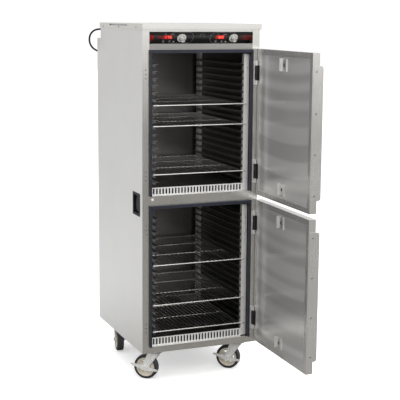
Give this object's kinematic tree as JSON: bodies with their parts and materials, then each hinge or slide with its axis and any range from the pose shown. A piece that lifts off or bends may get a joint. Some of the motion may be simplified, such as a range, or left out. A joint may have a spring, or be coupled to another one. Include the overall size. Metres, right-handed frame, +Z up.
{
  "type": "mobile heated holding cabinet",
  "caption": "Tall insulated stainless steel food holding cabinet on swivel casters, with two doors, wire shelves on tray slides and a sloping control panel.",
  "frame": {"origin": "on the floor, under the centre of the cabinet body's footprint", "axes": "+Z up, +Y towards the cabinet's back (the doors' side faces -Y), +X towards the hinge side, the right as seen from the front"},
  "size_m": [0.6969, 1.5372, 1.818],
  "materials": {
    "steel": "fine brushed stainless steel",
    "steel_dark": "mill-finish stainless lining",
    "galvanised": "galvanised sheet",
    "batt": "mineral fibre batt, hidden",
    "aluminium": "satin aluminium sheet",
    "element": "oxidised tube sheath",
    "gasket": "dark blue-black silicone",
    "black": "satin black",
    "lens": "dark red window",
    "white": "off-white plastic",
    "red": "translucent red",
    "knob": "turned, satin",
    "chrome": "nickel-chrome plated wire",
    "zinc": "bright zinc plate",
    "wheel": "grey-black rubber on a cream core",
    "cord": "black jacket"
  },
  "bodies": {
    "cabinet": {"left_side_panel": "steel", "right_side_panel": "steel", "top_cap": "steel", "rear_panels": "steel", "base_chassis": "galvanised", "front_frame": "steel", "upper_liner": "steel_dark", "lower_liner": "steel_dark", "insulation": "batt", "uprights": "steel", "tray_slides": "steel_dark", "floor_grilles": "aluminium", "heating_elements": "element", "door_gaskets": "gasket", "control_panel": "black", "display_lenses": "lens", "dial_rings": "white", "grip_cups": "black", "frame_hinge_leaves": "chrome", "caster_plates": "zinc", "body_fasteners": "zinc", "strain_relief": "cord", "power_cord": "cord", "cord_coil": "cord", "plug": "cord"},
    "upper_door": {"upper_door_skin": "steel", "upper_door_liner": "steel", "upper_door_insulation": "batt", "upper_door_handle": "steel", "upper_door_vent_plates": "steel", "upper_door_hinge_leaves": "black"},
    "lower_door": {"lower_door_skin": "steel", "lower_door_liner": "steel", "lower_door_insulation": "batt", "lower_door_handle": "steel", "lower_door_vent_plates": "steel", "lower_door_hinge_leaves": "black"},
    "upper_shelf_1": {"upper_shelf_1": "chrome"},
    "upper_shelf_2": {"upper_shelf_2": "chrome"},
    "upper_shelf_3": {"upper_shelf_3": "chrome"},
    "lower_shelf_1": {"lower_shelf_1": "chrome"},
    "lower_shelf_2": {"lower_shelf_2": "chrome"},
    "lower_shelf_3": {"lower_shelf_3": "chrome"},
    "left_knob": {"left_knob": "knob"},
    "right_knob": {"right_knob": "knob"},
    "left_button_1": {"left_button_1": "white"},
    "left_button_2": {"left_button_2": "white"},
    "right_button_1": {"right_button_1": "white"},
    "right_button_2": {"right_button_2": "white"},
    "power_rocker": {"power_rocker": "red"},
    "front_left_fork": {"front_left_fork": "zinc"},
    "front_left_wheel": {"front_left_wheel": "wheel"},
    "front_left_brake": {"front_left_brake_lever": "black"},
    "front_right_fork": {"front_right_fork": "zinc"},
    "front_right_wheel": {"front_right_wheel": "wheel"},
    "front_right_brake": {"front_right_brake_lever": "black"},
    "rear_left_fork": {"rear_left_fork": "zinc"},
    "rear_left_wheel": {"rear_left_wheel": "wheel"},
    "rear_right_fork": {"rear_right_fork": "zinc"},
    "rear_right_wheel": {"rear_right_wheel": "wheel"}
  },
  "joints": [
    {"name": "upper_door_hinge", "type": "hinge", "parent": "cabinet", "child": "upper_door", "pos_m": [0.298, -0.38, 1.3213], "axis": [0, 0, 1], "range_deg": [-89, 10]},
    {"name": "lower_door_hinge", "type": "hinge", "parent": "cabinet", "child": "lower_door", "pos_m": [0.298, -0.38, 0.5446], "axis": [0, 0, 1], "range_deg": [-89, 10]},
    {"name": "upper_shelf_1_slide", "type": "slide", "parent": "cabinet", "child": "upper_shelf_1", "axis": [0, -1, 0], "range_m": [0, 0.35]},
    {"name": "upper_shelf_2_slide", "type": "slide", "parent": "cabinet", "child": "upper_shelf_2", "axis": [0, -1, 0], "range_m": [0, 0.35]},
    {"name": "upper_shelf_3_slide", "type": "slide", "parent": "cabinet", "child": "upper_shelf_3", "axis": [0, -1, 0], "range_m": [0, 0.35]},
    {"name": "lower_shelf_1_slide", "type": "slide", "parent": "cabinet", "child": "lower_shelf_1", "axis": [0, -1, 0], "range_m": [0, 0.35]},
    {"name": "lower_shelf_2_slide", "type": "slide", "parent": "cabinet", "child": "lower_shelf_2", "axis": [0, -1, 0], "range_m": [0, 0.35]},
    {"name": "lower_shelf_3_slide", "type": "slide", "parent": "cabinet", "child": "lower_shelf_3", "axis": [0, -1, 0], "range_m": [0, 0.35]},
    {"name": "left_knob_turn", "type": "hinge", "parent": "cabinet", "child": "left_knob", "pos_m": [-0.0984, -0.34491, 1.74832], "axis": [0, 0.8387, 0.5446], "range_deg": [0, 270]},
    {"name": "right_knob_turn", "type": "hinge", "parent": "cabinet", "child": "right_knob", "pos_m": [0.1816, -0.34491, 1.74832], "axis": [0, 0.8387, 0.5446], "range_deg": [0, 270]},
    {"name": "left_button_1_press", "type": "slide", "parent": "cabinet", "child": "left_button_1", "axis": [0, 0.8387, 0.5446], "range_m": [0, 0.002], "stiffness_N_per_m": 400, "springref_m": -0.0005},
    {"name": "left_button_2_press", "type": "slide", "parent": "cabinet", "child": "left_button_2", "axis": [0, 0.8387, 0.5446], "range_m": [0, 0.002], "stiffness_N_per_m": 400, "springref_m": -0.0005},
    {"name": "right_button_1_press", "type": "slide", "parent": "cabinet", "child": "right_button_1", "axis": [0, 0.8387, 0.5446], "range_m": [0, 0.002], "stiffness_N_per_m": 400, "springref_m": -0.0005},
    {"name": "right_button_2_press", "type": "slide", "parent": "cabinet", "child": "right_button_2", "axis": [0, 0.8387, 0.5446], "range_m": [0, 0.002], "stiffness_N_per_m": 400, "springref_m": -0.0005},
    {"name": "power_rocker_tilt", "type": "hinge", "parent": "cabinet", "child": "power_rocker", "pos_m": [-0.257, -0.34348, 1.75163], "axis": [1, 0, 0], "range_deg": [-16, 0]},
    {"name": "front_left_swivel", "type": "hinge", "parent": "cabinet", "child": "front_left_fork", "pos_m": [-0.2315, -0.314, 0.14], "axis": [0, 0, 1], "continuous": true},
    {"name": "front_left_roll", "type": "hinge", "parent": "front_left_fork", "child": "front_left_wheel", "pos_m": [-0.26367, -0.287, 0.0635], "axis": [0.6428, 0.766, 0], "continuous": true},
    {"name": "front_left_brake_press", "type": "hinge", "parent": "front_left_fork", "child": "front_left_brake", "pos_m": [-0.28135, -0.30807, 0.0635], "axis": [-0.6428, -0.766, 0], "range_deg": [0, 20]},
    {"name": "front_right_swivel", "type": "hinge", "parent": "cabinet", "child": "front_right_fork", "pos_m": [0.2315, -0.314, 0.14], "axis": [0, 0, 1], "continuous": true},
    {"name": "front_right_roll", "type": "hinge", "parent": "front_right_fork", "child": "front_right_wheel", "pos_m": [0.19933, -0.287, 0.0635], "axis": [0.6428, 0.766, 0], "continuous": true},
    {"name": "front_right_brake_press", "type": "hinge", "parent": "front_right_fork", "child": "front_right_brake", "pos_m": [0.18165, -0.30807, 0.0635], "axis": [-0.6428, -0.766, 0], "range_deg": [0, 20]},
    {"name": "rear_left_swivel", "type": "hinge", "parent": "cabinet", "child": "rear_left_fork", "pos_m": [-0.241, 0.253, 0.14], "axis": [0, 0, 1], "continuous": true},
    {"name": "rear_left_roll", "type": "hinge", "parent": "rear_left_fork", "child": "rear_left_wheel", "pos_m": [-0.24829, 0.21164, 0.0635], "axis": [-0.9848, 0.1736, 0], "continuous": true},
    {"name": "rear_right_swivel", "type": "hinge", "parent": "cabinet", "child": "rear_right_fork", "pos_m": [0.241, 0.253, 0.14], "axis": [0, 0, 1], "continuous": true},
    {"name": "rear_right_roll", "type": "hinge", "parent": "rear_right_fork", "child": "rear_right_wheel", "pos_m": [0.22325, 0.21494, 0.0635], "axis": [-0.9063, 0.4226, 0], "continuous": true}
  ]
}
